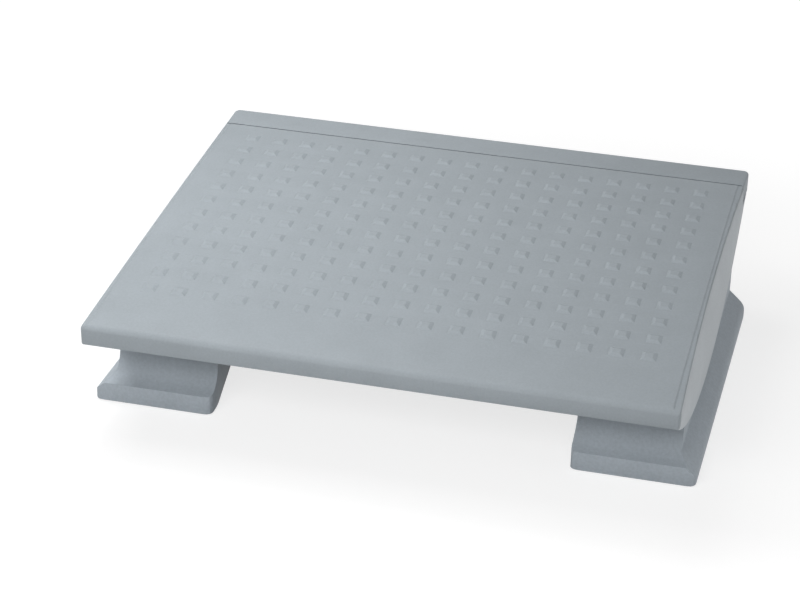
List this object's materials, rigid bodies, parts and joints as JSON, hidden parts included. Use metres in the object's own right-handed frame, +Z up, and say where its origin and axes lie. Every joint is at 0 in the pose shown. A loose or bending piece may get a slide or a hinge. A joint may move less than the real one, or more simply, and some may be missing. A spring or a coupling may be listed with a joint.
{
  "type": "tilting footrest",
  "caption": "Rectangular ribbed tread with raised grip pads and deep curved cheeks, rocking on a cross axle between two hollow moulded side feet with coved fronts and flared outer sides.",
  "frame": {"origin": "on the floor, under the middle of the object's bounding box at rest", "axes": "+Z up; -Y towards the user and the tread's low front edge, +Y towards its raised rear edge; +X to the user's right, along the tilt axle"},
  "size_m": [0.47, 0.3836, 0.1177],
  "materials": {
    "tread_plastic": "fine grained moulded plastic, cool light grey",
    "cheek_plastic": "fine grained moulded plastic, a shade lighter than the tread",
    "foot_plastic": "fine grained moulded plastic, cool light grey",
    "bracket_plastic": "smooth dark moulded plastic",
    "bush_plastic": "natural nylon",
    "friction_fibre": "pressed fibre",
    "spring_steel": "blued",
    "zinc_steel": "zinc plated",
    "rubber": "matte black"
  },
  "bodies": {
    "base": {"axle_collar_left": "zinc_steel", "axle_collar_right": "zinc_steel", "axle_washer_left": "zinc_steel", "axle_washer_right": "zinc_steel", "collar_pin_left": "zinc_steel", "collar_pin_right": "zinc_steel", "cross_axle": "zinc_steel", "disc_spring_left": "spring_steel", "disc_spring_right": "spring_steel", "foot_shell_left": "foot_plastic", "foot_shell_right": "foot_plastic", "foot_sole_left_1": "rubber", "foot_sole_left_2": "rubber", "foot_sole_left_3": "rubber", "foot_sole_left_4": "rubber", "foot_sole_right_1": "rubber", "foot_sole_right_2": "rubber", "foot_sole_right_3": "rubber", "foot_sole_right_4": "rubber", "friction_disc_inner_left": "friction_fibre", "friction_disc_inner_right": "friction_fibre", "friction_disc_outer_left": "friction_fibre", "friction_disc_outer_right": "friction_fibre", "lock_nut_left": "zinc_steel", "lock_nut_right": "zinc_steel", "stop_button_left_1": "rubber", "stop_button_left_2": "rubber", "stop_button_right_1": "rubber", "stop_button_right_2": "rubber"},
    "tread": {"bracket_screw_left_1": "zinc_steel", "bracket_screw_left_2": "zinc_steel", "bracket_screw_left_3": "zinc_steel", "bracket_screw_left_4": "zinc_steel", "bracket_screw_right_1": "zinc_steel", "bracket_screw_right_2": "zinc_steel", "bracket_screw_right_3": "zinc_steel", "bracket_screw_right_4": "zinc_steel", "cheek_left": "cheek_plastic", "cheek_right": "cheek_plastic", "cheek_screw_left_1": "zinc_steel", "cheek_screw_left_2": "zinc_steel", "cheek_screw_left_3": "zinc_steel", "cheek_screw_right_1": "zinc_steel", "cheek_screw_right_2": "zinc_steel", "cheek_screw_right_3": "zinc_steel", "pivot_bracket_left": "bracket_plastic", "pivot_bracket_right": "bracket_plastic", "pivot_bush_left": "bush_plastic", "pivot_bush_right": "bush_plastic", "tread_plate": "tread_plastic"}
  },
  "joints": [
    {"name": "tread_tilt", "type": "hinge", "parent": "base", "child": "tread", "pos_m": [0, 0.00303, 0.05], "axis": [1, 0, 0], "range_deg": [-18, 10]}
  ]
}
